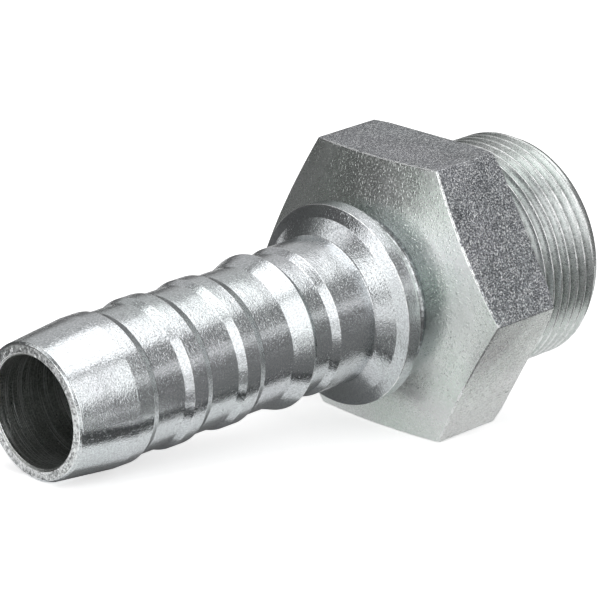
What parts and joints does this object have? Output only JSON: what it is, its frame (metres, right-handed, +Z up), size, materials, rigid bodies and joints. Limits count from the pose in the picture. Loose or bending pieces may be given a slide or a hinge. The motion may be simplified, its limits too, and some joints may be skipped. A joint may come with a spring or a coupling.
{
  "type": "male hydraulic hose fitting",
  "caption": "One-piece male hydraulic hose fitting in zinc plated steel: ribbed hose tail, collar for a crimped shell, hexagon and parallel thread, lying on its side.",
  "frame": {"origin": "on the turning axis, in the plane of the hexagon's flat shoulder on the thread side", "axes": "+Z up; the turning axis lies in the XZ plane and runs towards +X at the threaded end, which is raised 9.42 degrees because the fitting lies on its hexagon and the end of its hose tail; a hexagon flat faces down"},
  "size_m": [0.0857, 0.0416, 0.0374],
  "materials": {
    "zinc_steel": "bright zinc plating, turned smooth on the tail, collar and thread, hammered bar stock on the hexagon's flats"
  },
  "bodies": {
    "root": {"hose_fitting": "zinc_steel"}
  },
  "joints": []
}
